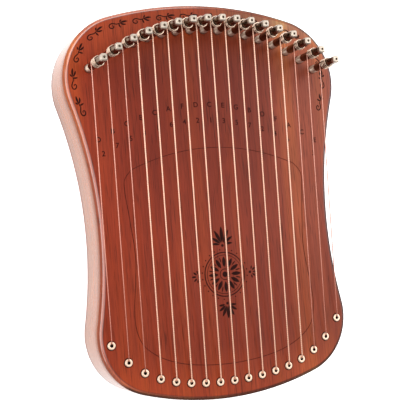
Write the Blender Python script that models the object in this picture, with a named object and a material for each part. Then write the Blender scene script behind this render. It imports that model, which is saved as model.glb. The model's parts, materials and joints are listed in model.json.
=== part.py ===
"""Lyre harp: a waisted wooden soundbox with seventeen strings, each tuned by its own steel pin.

It lies on its back. +X points right, +Y towards the tuning pins and +Z out of the face, and the origin
is under the middle of the back. Every length is in metres.
"""

import math

import bmesh
import bpy
from mathutils import Vector

# Body outline: a top arc, shoulders, a concave waist, hips and a bottom arc, each tangent to the next
BODY_LENGTH = 0.344
UPPER_WIDTH = 0.2594
WAIST_WIDTH = 0.2194
LOWER_WIDTH = 0.236
TOP_RADIUS = 0.3225
SHOULDER_RADIUS = 0.0574
HIP_RADIUS = 0.052
BOTTOM_RADIUS = 0.266
CHORD_ERROR = 0.0002

# Walls
BODY_DEPTH = 0.042
FRONT_THICKNESS = 0.0044
BACK_THICKNESS = 0.003
RIM_THICKNESS = 0.005
FRONT_ROUNDING = 0.0038
BACK_ROUNDING = 0.0025
ROUNDING_STEPS = 3
SEAM_GAP = 0.0003

# Inside
PIN_BLOCK_MARGIN = 0.014
TAIL_BLOCK_MARGIN = 0.012
BRACE_WIDTH = 0.007
BRACE_HEIGHT = 0.011
BRACE_END_HEIGHT = 0.004
BRACE_TAPER = 0.030
UPPER_BRACE_FROM_TOP = 0.110
LOWER_BRACE_FROM_BOTTOM = 0.105
SOUND_HOLE_RADIUS = 0.025
SOUND_HOLE_FROM_BOTTOM = 0.190
SOUND_HOLE_SIDES = 32

# Strings
STRING_COUNT = 17
OUTER_STRING_MARGIN = 0.010
PLAIN_STRINGS_EACH_SIDE = 3
PLAIN_DIAMETER = 0.0008
WOUND_DIAMETER = 0.0012
BALL_RADIUS = 0.002
BALL_RECESS_RADIUS = 0.0027
BALL_RECESS_DEPTH = 0.006
STRING_CHANNEL_RADIUS = 0.0014
CHANNEL_SIDES = 6

# Eyelets, in a row that bends up towards the hips
EYELET_INSET = 0.0148
EYELET_ROW_BOW = 0.020
EYELET_ROW_LIFT = 0.0222
EYELET_BORE_RADIUS = 0.00145
EYELET_BARREL_RADIUS = 0.0022
EYELET_FLANGE_RADIUS = 0.0035
EYELET_BARREL_LENGTH = 0.0022
EYELET_FLANGE_HEIGHT = 0.0009
EYELET_SIDES = 12

# Tuning pins, on an arc below the top edge
PIN_INSET = 0.0225
PIN_ARC_RADIUS = 0.184
PIN_DIAMETER = 0.007
PIN_HEIGHT = 0.042
PIN_SEAT_DEPTH = 0.024
PIN_CLEARANCE = 0.0003
PIN_SIDES = 12
PIN_HEAD_LENGTH = 0.0095
PIN_HEAD_SHOULDER = 0.0012
PIN_HEAD_SQUARE = 0.0057
PIN_HEAD_BEVEL = 0.0007
PIN_HEAD_DIMPLE = 0.0011
PIN_STRING_HOLE_RADIUS = 0.0008
PIN_STRING_HOLE_HEIGHT = 0.0296

# Windings of the strings round their pins, from where each string reaches its pin up to the string hole
WINDING_START = 0.0257
WINDING_START_DROP = 0.005
WINDING_PITCH = 0.002
WINDING_CLEARANCE = 0.0003
POINTS_PER_TURN = 8
TAIL_LENGTH = 0.002

CUT_OVERSHOOT = 0.001
WAIST_SEARCH_RADIUS = 20.0
WAIST_SEARCH_STEPS = 60
FACE_Z = BODY_DEPTH
HOLLOW_FLOOR = BACK_THICKNESS + SEAM_GAP
HOLLOW_CEILING = BODY_DEPTH - FRONT_THICKNESS - SEAM_GAP
TOP_EDGE = BODY_LENGTH / 2
BOTTOM_EDGE = -BODY_LENGTH / 2
PIN_RADIUS = PIN_DIAMETER / 2
MIDDLE_STRING = STRING_COUNT // 2
OUTER_STRING_X = min(UPPER_WIDTH, LOWER_WIDTH) / 2 - OUTER_STRING_MARGIN
STRING_SPACING = OUTER_STRING_X / MIDDLE_STRING

MAHOGANY = ((0.33, 0.075, 0.03), 0.28, 0.0)
DARK_MAHOGANY = ((0.25, 0.06, 0.028), 0.3, 0.0)
MAPLE = ((0.62, 0.42, 0.24), 0.55, 0.0)
SPRUCE = ((0.72, 0.56, 0.36), 0.6, 0.0)
BRASS = ((0.82, 0.62, 0.32), 0.25, 1.0)
NICKEL = ((0.72, 0.7, 0.66), 0.18, 1.0)
BRONZE_WOUND = ((0.82, 0.66, 0.42), 0.3, 1.0)
STEEL = ((0.75, 0.72, 0.7), 0.22, 1.0)


def clear_scene():
    for old in list(bpy.data.objects):
        bpy.data.objects.remove(old, do_unlink=True)


def add_object(name, data, finish, place=(0.0, 0.0, 0.0)):
    """Puts a mesh or a curve in the scene as a named piece with a material of its own."""
    colour, roughness, metallic = finish
    material = bpy.data.materials.new(name)
    material.use_nodes = True
    shader = material.node_tree.nodes["Principled BSDF"]
    shader.inputs["Base Color"].default_value = (*colour, 1.0)
    shader.inputs["Roughness"].default_value = roughness
    shader.inputs["Metallic"].default_value = metallic
    piece = bpy.data.objects.new(name, data)
    piece.location = place
    bpy.context.scene.collection.objects.link(piece)
    piece.parent = bpy.data.objects["lyre_harp"]
    if not data.materials:
        data.materials.append(material)
    piece.material_slots[0].link = "OBJECT"
    piece.material_slots[0].material = material
    return piece


def add_cutter(name, data):
    cutter = bpy.data.objects.new(name, data)
    cutter.hide_render = True
    cutter.display_type = "WIRE"
    bpy.context.scene.collection.objects.link(cutter)
    return cutter


def cut(piece, cutter):
    modifier = piece.modifiers.new(cutter.name, "BOOLEAN")
    modifier.operation = "DIFFERENCE"
    modifier.solver = "EXACT"
    modifier.object = cutter


def smooth(mesh, degrees=35):
    mesh.shade_smooth()
    mesh.set_sharp_from_angle(angle=math.radians(degrees))


def mesh_of_rings(name, rings, closed_ring=False):
    """Joins rings of equally many points with quads, and caps the first and the last, or joins them too."""
    build = bmesh.new()
    loops = [[build.verts.new(point) for point in ring] for ring in rings]
    pairs = list(zip(loops, loops[1:]))
    if closed_ring:
        pairs.append((loops[-1], loops[0]))
    for lower, upper in pairs:
        for i in range(len(lower)):
            j = (i + 1) % len(lower)
            build.faces.new((lower[i], lower[j], upper[j], upper[i]))
    if not closed_ring:
        build.faces.new(loops[0][::-1])
        build.faces.new(loops[-1])
    bmesh.ops.recalc_face_normals(build, faces=build.faces)
    mesh = bpy.data.meshes.new(name)
    build.to_mesh(mesh)
    build.free()
    smooth(mesh)
    return mesh


def arc(centre, radius, start, end, steps):
    """Points of an arc between two angles, both ends included."""
    points = []
    for i in range(steps + 1):
        angle = start + (end - start) * i / steps
        points.append(Vector((centre.x + radius * math.cos(angle), centre.y + radius * math.sin(angle))))
    return points


def arc_steps(radius, sweep):
    """As few chords as keep within CHORD_ERROR of the arc."""
    return max(1, math.ceil(abs(sweep) / (2 * math.acos(1 - CHORD_ERROR / radius))))


def waist_arc(shoulder, hip):
    """Centre and radius of the waist's arc, which touches the shoulder's arc and the hip's arc."""
    waist_x = WAIST_WIDTH / 2
    shoulder_offset = waist_x - shoulder.x
    hip_offset = waist_x - hip.x

    def drop(own_radius, offset, radius):
        return math.sqrt((own_radius - offset) * (2 * radius + own_radius + offset))

    low, high = 0.0, WAIST_SEARCH_RADIUS
    for _ in range(WAIST_SEARCH_STEPS):
        radius = (low + high) / 2
        reach = drop(SHOULDER_RADIUS, shoulder_offset, radius) + drop(HIP_RADIUS, hip_offset, radius)
        if reach < shoulder.y - hip.y:
            low = radius
        else:
            high = radius
    centre = Vector((waist_x + radius, shoulder.y - drop(SHOULDER_RADIUS, shoulder_offset, radius)))
    return centre, radius


def angle_of(vector):
    return math.atan2(vector.y, vector.x)


def outline_arcs():
    """The right side's arcs from top to bottom: centre, radius, whether it bulges, and its two angles."""
    top = Vector((0.0, TOP_EDGE - TOP_RADIUS))
    shoulder_x = UPPER_WIDTH / 2 - SHOULDER_RADIUS
    shoulder = Vector((shoulder_x, top.y + math.sqrt((TOP_RADIUS - SHOULDER_RADIUS) ** 2 - shoulder_x**2)))
    bottom = Vector((0.0, BOTTOM_EDGE + BOTTOM_RADIUS))
    hip_x = LOWER_WIDTH / 2 - HIP_RADIUS
    hip = Vector((hip_x, bottom.y - math.sqrt((BOTTOM_RADIUS - HIP_RADIUS) ** 2 - hip_x**2)))
    waist, waist_radius = waist_arc(shoulder, hip)
    quarter = math.pi / 2
    at_shoulder = angle_of(shoulder - top)
    above_waist = angle_of(waist - shoulder)
    below_waist = angle_of(waist - hip)
    at_hip = angle_of(hip - bottom)
    return (
        (top, TOP_RADIUS, True, quarter, at_shoulder),
        (shoulder, SHOULDER_RADIUS, True, at_shoulder, above_waist),
        (waist, waist_radius, False, above_waist, below_waist),
        (hip, HIP_RADIUS, True, below_waist, at_hip),
        (bottom, BOTTOM_RADIUS, True, at_hip, -quarter),
    )


def outline(inset=0.0):
    """The body's outline, moved inwards by inset, as points that run clockwise from the top centre."""
    right = []
    for centre, radius, bulges, start, end in outline_arcs():
        reach = radius - inset if bulges else -radius - inset
        for point in arc(centre, reach, start, end, arc_steps(radius, end - start)):
            if not right or (point - right[-1]).length > CHORD_ERROR:
                right.append(point)
    left = [Vector((-point.x, point.y)) for point in reversed(right[1:-1])]
    return right + left


def half_width(y, inset):
    """Half the body's width at a height on it, inside a wall of the given thickness."""
    points = outline(inset)
    for first, second in zip(points, points[1:]):
        if second.x >= 0 and first.y >= y >= second.y and first.y != second.y:
            return first.x + (second.x - first.x) * (first.y - y) / (first.y - second.y)
    return 0.0


def levels(insets_and_heights):
    return [[(p.x, p.y, z) for p in outline(inset)] for inset, z in insets_and_heights]


def rounded_edge(radius, z_edge, z_start):
    """Insets and heights of a quarter-round edge, from z_start on the side to z_edge on the face."""
    rows = []
    for i in range(ROUNDING_STEPS + 1):
        angle = math.pi / 2 * i / ROUNDING_STEPS
        rows.append((radius * (1 - math.cos(angle)), z_start + (z_edge - z_start) * math.sin(angle)))
    return rows


def string_x(number):
    return (number - 1 - MIDDLE_STRING) * STRING_SPACING


def eyelet_y(x):
    """The eyelets' row: a shallow bow in the middle that lifts steeply towards each hip."""
    out = abs(x / OUTER_STRING_X)
    return BOTTOM_EDGE + EYELET_INSET + EYELET_ROW_BOW * out**2 + EYELET_ROW_LIFT * out**5


def pin_y(x, drop=0.0):
    """The pins' arc, or one that runs a given distance inside it."""
    centre_y = TOP_EDGE - PIN_INSET - PIN_ARC_RADIUS
    return centre_y + math.sqrt((PIN_ARC_RADIUS - drop) ** 2 - x**2)


def string_numbers():
    return range(1, STRING_COUNT + 1)


def is_plain(number):
    return min(number - 1, STRING_COUNT - number) < PLAIN_STRINGS_EACH_SIDE


def round_cutters(name, centres, radius, low, high, sides):
    """One cutter that holds a round bar for each centre."""
    build = bmesh.new()
    for x, y in centres:
        rings = []
        for z in (low, high):
            ring = []
            for i in range(sides):
                angle = 2 * math.pi * (i + 0.5) / sides
                ring.append(build.verts.new((x + radius * math.cos(angle), y + radius * math.sin(angle), z)))
            rings.append(ring)
        for i in range(sides):
            j = (i + 1) % sides
            build.faces.new((rings[0][i], rings[0][j], rings[1][j], rings[1][i]))
        build.faces.new(rings[0][::-1])
        build.faces.new(rings[1])
    bmesh.ops.recalc_face_normals(build, faces=build.faces)
    mesh = bpy.data.meshes.new(name)
    build.to_mesh(mesh)
    build.free()
    return add_cutter(name, mesh)


def pin_hole_cutter():
    centres = [(string_x(n), pin_y(string_x(n))) for n in string_numbers()]
    floor = FACE_Z - PIN_SEAT_DEPTH - PIN_CLEARANCE
    radius = (PIN_RADIUS + PIN_CLEARANCE) / math.cos(math.pi / PIN_SIDES)
    return round_cutters("pin_hole_cutter", centres, radius, floor, FACE_Z + CUT_OVERSHOOT, PIN_SIDES)


def eyelet_places():
    return [(string_x(n), eyelet_y(string_x(n))) for n in string_numbers()]


def eyelet_hole_cutter():
    radius = (EYELET_BARREL_RADIUS + SEAM_GAP) / math.cos(math.pi / EYELET_SIDES)
    low = HOLLOW_CEILING - CUT_OVERSHOOT
    return round_cutters(
        "eyelet_hole_cutter", eyelet_places(), radius, low, FACE_Z + CUT_OVERSHOOT, EYELET_SIDES
    )


def string_channel_cutter():
    return round_cutters(
        "string_channel_cutter",
        eyelet_places(),
        STRING_CHANNEL_RADIUS,
        BALL_RECESS_DEPTH - CUT_OVERSHOOT,
        HOLLOW_CEILING + CUT_OVERSHOOT,
        CHANNEL_SIDES,
    )


def ball_recess_cutter():
    return round_cutters(
        "ball_recess_cutter",
        eyelet_places(),
        BALL_RECESS_RADIUS,
        -CUT_OVERSHOOT,
        BALL_RECESS_DEPTH,
        CHANNEL_SIDES,
    )


def sound_hole_cutter():
    centre = (0.0, BOTTOM_EDGE + SOUND_HOLE_FROM_BOTTOM)
    high = BACK_THICKNESS + CUT_OVERSHOOT
    return round_cutters(
        "sound_hole_cutter", [centre], SOUND_HOLE_RADIUS, -CUT_OVERSHOOT, high, SOUND_HOLE_SIDES
    )


def make_front_plate(pin_holes, eyelet_holes):
    under = BODY_DEPTH - FRONT_THICKNESS
    rows = [(0.0, under)] + rounded_edge(FRONT_ROUNDING, FACE_Z, FACE_Z - FRONT_ROUNDING)
    plate = add_object("front_plate", mesh_of_rings("front_plate", levels(rows)), MAHOGANY)
    cut(plate, pin_holes)
    cut(plate, eyelet_holes)


def make_back_plate(recesses, sound_hole):
    rows = rounded_edge(BACK_ROUNDING, 0.0, BACK_ROUNDING)[::-1] + [(0.0, BACK_THICKNESS)]
    plate = add_object("back_plate", mesh_of_rings("back_plate", levels(rows)), DARK_MAHOGANY)
    cut(plate, recesses)
    cut(plate, sound_hole)


def make_rim():
    """The bent side wall, one closed strip between the two plates."""
    rows = (
        (0.0, HOLLOW_FLOOR),
        (0.0, HOLLOW_CEILING),
        (RIM_THICKNESS, HOLLOW_CEILING),
        (RIM_THICKNESS, HOLLOW_FLOOR),
    )
    add_object("rim", mesh_of_rings("rim", levels(rows), closed_ring=True), MAHOGANY)


def block_mesh(name, outer, inner):
    """A block inside the body, between the rim's wall and an inner edge."""
    edge = outer + inner
    return mesh_of_rings(name, [[(p.x, p.y, z) for p in edge] for z in (HOLLOW_FLOOR, HOLLOW_CEILING)])


def make_pin_block(pin_holes):
    """The hardwood block that holds the tuning pins, under the top of the face."""
    low = pin_y(OUTER_STRING_X) - PIN_BLOCK_MARGIN
    above = [p for p in outline(RIM_THICKNESS + SEAM_GAP) if p.y > low]
    wall = [p for p in above if p.x < 0] + [p for p in above if p.x >= 0]
    reach = OUTER_STRING_X - PIN_BLOCK_MARGIN / 2
    xs = [reach - 2 * reach * i / STRING_COUNT for i in range(STRING_COUNT + 1)]
    inner = [Vector((x, pin_y(x, PIN_BLOCK_MARGIN))) for x in xs]
    block = add_object("pin_block", block_mesh("pin_block", wall, inner), MAPLE)
    cut(block, pin_holes)


def make_tail_block(channels, recesses):
    """The block under the eyelets, drilled through for the strings and opened wider for their balls."""
    high = eyelet_y(OUTER_STRING_X) + TAIL_BLOCK_MARGIN
    wall = [p for p in outline(RIM_THICKNESS + SEAM_GAP) if p.y < high]
    reach = OUTER_STRING_X - TAIL_BLOCK_MARGIN / 2
    xs = [-reach + 2 * reach * i / STRING_COUNT for i in range(STRING_COUNT + 1)]
    inner = [Vector((x, eyelet_y(x) + TAIL_BLOCK_MARGIN)) for x in xs]
    block = add_object("tail_block", block_mesh("tail_block", wall, inner), MAPLE)
    cut(block, channels)
    cut(block, recesses)


def make_brace(name, y):
    """A bar glued under the face, full height in the middle and thinned towards its ends."""
    inset = RIM_THICKNESS + SEAM_GAP
    reach = min(half_width(y - BRACE_WIDTH / 2, inset), half_width(y + BRACE_WIDTH / 2, inset))
    top = HOLLOW_CEILING
    profile = (
        (-reach, top),
        (reach, top),
        (reach, top - BRACE_END_HEIGHT),
        (reach - BRACE_TAPER, top - BRACE_HEIGHT),
        (BRACE_TAPER - reach, top - BRACE_HEIGHT),
        (-reach, top - BRACE_END_HEIGHT),
    )
    rings = [[(x, side, z) for x, z in profile] for side in (-BRACE_WIDTH / 2, BRACE_WIDTH / 2)]
    add_object(name, mesh_of_rings(name, rings), SPRUCE, (0.0, y, 0.0))


def eyelet_mesh():
    """A turned brass eyelet: a barrel through the face with a domed flange, its origin at the face."""
    low = SEAM_GAP
    high = SEAM_GAP + EYELET_FLANGE_HEIGHT
    lip = (EYELET_FLANGE_RADIUS - EYELET_BORE_RADIUS) / 3
    profile = (
        (EYELET_BORE_RADIUS, -EYELET_BARREL_LENGTH),
        (EYELET_BARREL_RADIUS, -EYELET_BARREL_LENGTH),
        (EYELET_BARREL_RADIUS, low),
        (EYELET_FLANGE_RADIUS, low),
        (EYELET_FLANGE_RADIUS - lip / 3, (low + high) / 2),
        (EYELET_FLANGE_RADIUS - lip, high),
        (EYELET_BORE_RADIUS, (low + high) / 2),
    )
    rings = []
    for i in range(EYELET_SIDES):
        angle = 2 * math.pi * i / EYELET_SIDES
        rings.append([(r * math.cos(angle), r * math.sin(angle), z) for r, z in profile])
    return mesh_of_rings("eyelet", rings, closed_ring=True)


def pin_ring(z, radius=PIN_RADIUS, square=None):
    """A ring of a pin: round, or filed square to a width across its flats with the round left at the corners."""
    ring = []
    for i in range(PIN_SIDES):
        angle = 2 * math.pi * (i + 0.5) / PIN_SIDES
        c, s = math.cos(angle), math.sin(angle)
        reach = radius if square is None else min(radius, square / 2 / max(abs(c), abs(s)))
        ring.append((reach * c, reach * s, z))
    return ring


def pin_mesh():
    """A tuning pin: a round shank, bored for the string, with a squared head for the wrench."""
    neck = PIN_HEIGHT - PIN_HEAD_LENGTH
    rings = (
        pin_ring(PIN_CLEARANCE - PIN_SEAT_DEPTH),
        pin_ring(neck),
        pin_ring(neck + PIN_HEAD_SHOULDER, square=PIN_HEAD_SQUARE),
        pin_ring(PIN_HEIGHT - PIN_HEAD_BEVEL, square=PIN_HEAD_SQUARE),
        pin_ring(PIN_HEIGHT, PIN_RADIUS - PIN_HEAD_BEVEL, PIN_HEAD_SQUARE - 2 * PIN_HEAD_BEVEL),
        pin_ring(PIN_HEIGHT, PIN_HEAD_DIMPLE),
        pin_ring(PIN_HEIGHT - PIN_HEAD_DIMPLE, PIN_HEAD_DIMPLE / 2),
    )
    blank = add_cutter("pin_blank", mesh_of_rings("pin_blank", rings))
    bar = round_cutters(
        "pin_string_hole_cutter", [(0.0, 0.0)], PIN_STRING_HOLE_RADIUS, -PIN_DIAMETER, PIN_DIAMETER, CHANNEL_SIDES
    )
    bar.rotation_euler = (0.0, math.pi / 2, 0.0)
    bar.location = (0.0, 0.0, PIN_STRING_HOLE_HEIGHT)
    cut(blank, bar)
    bpy.context.view_layer.update()
    graph = bpy.context.evaluated_depsgraph_get()
    mesh = bpy.data.meshes.new_from_object(blank.evaluated_get(graph))
    mesh.name = "tuning_pin"
    mesh.materials.clear()
    smooth(mesh)
    bpy.data.objects.remove(blank, do_unlink=True)
    bpy.data.objects.remove(bar, do_unlink=True)
    return mesh


def ball_points(wire_radius):
    """The string's ball end, as heights over the back with the tube's radius at each."""
    middle = BALL_RECESS_DEPTH - BALL_RADIUS - SEAM_GAP
    rows = [(middle + BALL_RADIUS * math.sin(a), BALL_RADIUS * math.cos(a)) for a in (-1.2, -0.3, 0.7)]
    return rows + [(middle + BALL_RADIUS, wire_radius)]


def string_points(number, wire_radius):
    """The string's centre line and radii, from its ball, up through the eyelet, to and round the pin."""
    x = string_x(number)
    foot = eyelet_y(x)
    path = [(Vector((x, foot, z)), radius) for z, radius in ball_points(wire_radius)]
    rim_top = FACE_Z + SEAM_GAP + EYELET_FLANGE_HEIGHT
    over = rim_top + SEAM_GAP + wire_radius
    path.append((Vector((x, foot, FACE_Z + SEAM_GAP)), wire_radius))
    path.append((Vector((x, foot + EYELET_BORE_RADIUS, over)), wire_radius))
    path.append((Vector((x, foot + EYELET_FLANGE_RADIUS, over + wire_radius / 2)), wire_radius))
    path += [(point, wire_radius) for point in winding_points(x, wire_radius)]
    return path


def winding_points(x, wire_radius):
    """Turns that climb the pin clockwise, seen from the front, up to its hole, with a short straight tail."""
    y = pin_y(x)
    radius = (PIN_RADIUS + WINDING_CLEARANCE + wire_radius) / math.cos(math.pi / POINTS_PER_TURN)
    start = FACE_Z + WINDING_START - WINDING_START_DROP * abs(x / OUTER_STRING_X) ** 3
    climb = FACE_Z + PIN_STRING_HOLE_HEIGHT - start
    turns = round(climb / WINDING_PITCH)
    points = []
    for i in range(turns * POINTS_PER_TURN + 1):
        turn = i / POINTS_PER_TURN
        angle = math.pi - 2 * math.pi * turn
        z = start + climb * turn / turns
        points.append(Vector((x + radius * math.cos(angle), y + radius * math.sin(angle), z)))
    points.append(points[-1] + Vector((-TAIL_LENGTH / 4, TAIL_LENGTH, 0.0)))
    return points


def least_gap(points, wire_radius):
    """The least free distance between stretches of a winding that are half a turn or more apart."""
    finer = 6
    samples = []
    for first, second in zip(points, points[1:]):
        samples += [first.lerp(second, i / finer) for i in range(finer)]
    apart = POINTS_PER_TURN // 2 * finer
    least = min(
        (samples[j] - samples[i]).length for i in range(len(samples)) for j in range(i + apart, len(samples))
    )
    return least - 2 * wire_radius


def make_string(number):
    wire_radius = (PLAIN_DIAMETER if is_plain(number) else WOUND_DIAMETER) / 2
    path = string_points(number, wire_radius)
    name = f"string_{number:02d}"
    curve = bpy.data.curves.new(name, "CURVE")
    curve.dimensions = "3D"
    curve.bevel_depth = wire_radius
    curve.bevel_resolution = 1
    curve.use_fill_caps = True
    line = curve.splines.new("POLY")
    line.points.add(len(path) - 1)
    for point, (place, radius) in zip(line.points, path):
        point.co = (*place, 1.0)
        point.radius = radius / wire_radius
    line.use_smooth = True
    add_object(name, curve, STEEL if is_plain(number) else BRONZE_WOUND)
    gap = least_gap(winding_points(string_x(number), wire_radius), wire_radius)
    print(f"{name}: least gap between its turns {gap * 1000:.2f} mm")


def make_lyre_harp():
    clear_scene()
    root = bpy.data.objects.new("lyre_harp", None)
    bpy.context.scene.collection.objects.link(root)
    pin_holes = pin_hole_cutter()
    channels = string_channel_cutter()
    recesses = ball_recess_cutter()
    make_front_plate(pin_holes, eyelet_hole_cutter())
    make_back_plate(recesses, sound_hole_cutter())
    make_rim()
    make_pin_block(pin_holes)
    make_tail_block(channels, recesses)
    make_brace("upper_brace", TOP_EDGE - UPPER_BRACE_FROM_TOP)
    make_brace("lower_brace", BOTTOM_EDGE + LOWER_BRACE_FROM_BOTTOM)
    eyelet = eyelet_mesh()
    pin = pin_mesh()
    for number in string_numbers():
        x = string_x(number)
        add_object(f"eyelet_{number:02d}", eyelet, BRASS, (x, eyelet_y(x), FACE_Z))
        add_object(f"tuning_pin_{number:02d}", pin, NICKEL, (x, pin_y(x), FACE_Z))
        make_string(number)


make_lyre_harp()
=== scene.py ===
"""Looks of a small lyre harp: lacquered mahogany, burnt ornament, brass eyelets, nickel pins and strings.

Metres, in the frame of the CAD model: +X right, +Y towards the tuning pins, +Z out of the face.
"""

import json
import math

import bmesh
import bpy
from mathutils import Matrix, Vector


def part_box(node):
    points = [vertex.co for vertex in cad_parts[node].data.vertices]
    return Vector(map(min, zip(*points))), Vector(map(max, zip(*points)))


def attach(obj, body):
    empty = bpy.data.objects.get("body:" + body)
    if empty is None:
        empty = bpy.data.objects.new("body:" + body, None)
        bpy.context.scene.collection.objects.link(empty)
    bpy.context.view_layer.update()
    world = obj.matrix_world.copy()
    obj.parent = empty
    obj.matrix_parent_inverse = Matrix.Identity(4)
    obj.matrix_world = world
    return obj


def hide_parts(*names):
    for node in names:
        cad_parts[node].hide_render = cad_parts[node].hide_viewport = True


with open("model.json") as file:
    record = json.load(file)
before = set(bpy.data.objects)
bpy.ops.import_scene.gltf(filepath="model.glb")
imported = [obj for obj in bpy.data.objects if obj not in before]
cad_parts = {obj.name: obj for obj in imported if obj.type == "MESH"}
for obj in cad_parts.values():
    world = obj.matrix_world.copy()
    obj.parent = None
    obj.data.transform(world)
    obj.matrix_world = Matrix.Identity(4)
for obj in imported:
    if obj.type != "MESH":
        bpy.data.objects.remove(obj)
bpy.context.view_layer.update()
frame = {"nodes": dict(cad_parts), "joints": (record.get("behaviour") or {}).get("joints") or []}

MM = 0.001

# Camera, as fitted to the photograph
CAMERA_PLACE = (-0.3472, -0.0514, 0.7681)
CAMERA_RIGHT = (0.9092, -0.0889, 0.4068)
CAMERA_UP = (0.0548, 0.9940, 0.0948)
CAMERA_BACK = (-0.4127, -0.0639, 0.9086)
CAMERA_LENS_MM = 83.3
SENSOR_MM = 36.0

# Body outline, the same arcs as in the CAD model
BODY_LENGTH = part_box("front_plate")[1].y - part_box("front_plate")[0].y
UPPER_WIDTH = 0.2594
WAIST_WIDTH = 0.2194
LOWER_WIDTH = 0.236
TOP_RADIUS = 0.3225
SHOULDER_RADIUS = 0.0574
HIP_RADIUS = 0.052
BOTTOM_RADIUS = 0.266
CHORD_ERROR = 0.00003
WAIST_SEARCH_RADIUS = 20.0
WAIST_SEARCH_STEPS = 60

# Walls
FACE_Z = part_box("front_plate")[1].z
FRONT_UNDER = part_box("front_plate")[0].z
BACK_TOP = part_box("back_plate")[1].z
RIM_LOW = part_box("rim")[0].z
RIM_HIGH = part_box("rim")[1].z
RIM_THICKNESS = 0.005
RIM_CHAMFER = 0.0003
FRONT_ROUNDING = 0.0038
BACK_ROUNDING = 0.0025
ROUNDING_STEPS = 10
EDGE_SUPPORT = 0.0004
SOUND_HOLE_RADIUS = 0.025
SOUND_HOLE_FROM_BOTTOM = 0.190
BALL_RECESS_RADIUS = 0.0027
CUT_OVERSHOOT = 0.001

# Strings, eyelets and pins
STRING_COUNT = 17
PLAIN_STRINGS_EACH_SIDE = 3
PLAIN_DIAMETER = 0.0008
WOUND_DIAMETER = 0.0012
BALL_RADIUS = 0.002
STRING_SIDES = 12
STRING_BEND_DEPTH = 0.006
EYELET_BORE_RADIUS = 0.00145
EYELET_BARREL_RADIUS = 0.0022
EYELET_FLANGE_RADIUS = 0.0035
EYELET_BARREL_LENGTH = 0.0022
EYELET_FLANGE_HEIGHT = 0.0009
EYELET_LIP_RADIUS = 0.00335
EYELET_OUTER_ROUNDING = 0.0006
EYELET_INNER_ROUNDING = 0.0002
EYELET_ROUNDING_STEPS = 5
EYELET_SIDES = 40
# Gap and thickness of a near-black sleeve in each eyelet's bore: painted shade in the hole
BORE_SHADE_GAP = 0.00005
BORE_SHADE_THICKNESS = 0.00015
SEAM_GAP = 0.0003
PIN_RADIUS = 0.0035
PIN_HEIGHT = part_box("tuning_pin_01")[1].z - FACE_Z
PIN_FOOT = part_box("tuning_pin_01")[0].z - FACE_Z
PIN_HOLE_CLEARANCE = 0.0003
PIN_HEAD_LENGTH = 0.0095
PIN_HEAD_SHOULDER = 0.0012
PIN_HEAD_SQUARE = 0.0057
PIN_HEAD_BEVEL = 0.0007
PIN_HEAD_DIMPLE = 0.0011
PIN_DIMPLE_DEPTH = 0.0022
PIN_FILED_LENGTH = 0.0030
PIN_STRING_HOLE_RADIUS = 0.0008
PIN_STRING_HOLE_HEIGHT = 0.0296
PIN_STRING_HOLE_SIDES = 16
PIN_SIDES = 36
PIN_BEAD_HEIGHT = 0.0014
PIN_THREAD_TOP = 0.0085
PIN_THREAD_PITCH = 0.0008
PIN_THREAD_DEPTH = 0.0002
WINDING_START = 0.0257
WINDING_START_DROP = 0.005
WINDING_PITCH = 0.002
WINDING_CLEARANCE = 0.0003
POINTS_PER_TURN = 28
TAIL_LENGTH = 0.002

# Burnt ornament, a hair proud of the face
INK_RISE = 0.00006
INK_DEPTH = 0.0002
# Rows of note marks: text, height in the middle, place of the first mark and step
NOTE_ROWS = (
    ("DBGECAFDCEGBDFACE", 0.0828, -0.1045, 0.0130),
    ("27531642135724613", 0.0690, -0.1010, 0.0126),
)
NOTE_SIZE = 0.0062
SCROLLS_EACH_SIDE = 8
SCROLL_INSET_TOP = 0.0103
SCROLL_INSET_LEFT = 0.0080
SCROLL_INSET_RIGHT = 0.0128
SCROLL_FIRST = 0.0124
SCROLL_STEP = 0.0223
SCROLL_UNIT = 0.00108
SCROLL_TILT = 0.2
SCROLL_STEM_WIDTH = 0.0009

# One scroll in units: its stem from the leaves to the end of the hook, along the border and towards the edge
SCROLL_STEM = ((-3.0, 1.4), (-1.2, 0.9), (1.0, 0.1), (3.4, 0.7), (5.8, 0.8), (7.8, -0.6), (7.4, -2.6), (5.2, -3.2),
               (3.6, -2.2), (4.2, -0.9), (5.4, -1.2))
# Its leaves: base, direction from the border's in radians, length, width and bend
SCROLL_LEAVES = (
    (-2.0, 1.2, 2.75, 6.4, 1.5, 0.45),
    (-1.8, 1.0, 3.65, 5.2, 1.3, -0.7),
    (-0.6, 0.8, 4.55, 3.8, 1.2, -0.5),
    (-1.6, 1.5, 1.9, 2.8, 1.2, 0.5),
)


# A rosette in the middle of the panel: rings as radius and width in mm, fans as angle, length and width in mm
ROSETTE_CENTRE = (0.0, -0.066)
ROSETTE_RINGS = ((19.0, 0.9), (16.7, 0.45), (4.6, 0.6))
ROSETTE_HEART = 0.0024
ROSETTE_PETALS = 12
FAN_BUD = 0.0012
FAN_OFFSET = 0.0026
FAN_BEND = 0.35
TALL_FAN = ((0.0, 14.0, 3.2), (0.42, 12.5, 2.9), (0.84, 10.0, 2.5), (1.26, 7.5, 2.0))
LOW_FAN = ((0.0, 10.5, 2.8), (0.42, 9.5, 2.6), (0.84, 8.0, 2.2), (1.26, 6.0, 1.8))
SIDE_FAN = ((0.0, 4.5, 1.6), (0.6, 4.0, 1.5), (1.15, 3.2, 1.2))

FACE_ROUGHNESS = 0.38
FACE_SHINE = 0.14
WALL_SHINE = 0.5
# Centre and reach of the painted shade below the pins
PAINTED_SHADE_CENTRE = (-0.005, 0.085)
PAINTED_SHADE_REACH = (0.13, 0.17, 1.0)

# Stage
FLOOR_SIZE = 14.0
FLOOR_DROP = 0.0006
FLOOR_COLOUR = (0.93, 0.93, 0.93)
FLOOR_GLOW = 0.7
SKY_STRENGTH = 0.45


def new_material(name):
    """A node material with its Principled shader."""
    material = bpy.data.materials.new(name)
    material.use_nodes = True
    return material, material.node_tree, material.node_tree.nodes["Principled BSDF"]


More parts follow.
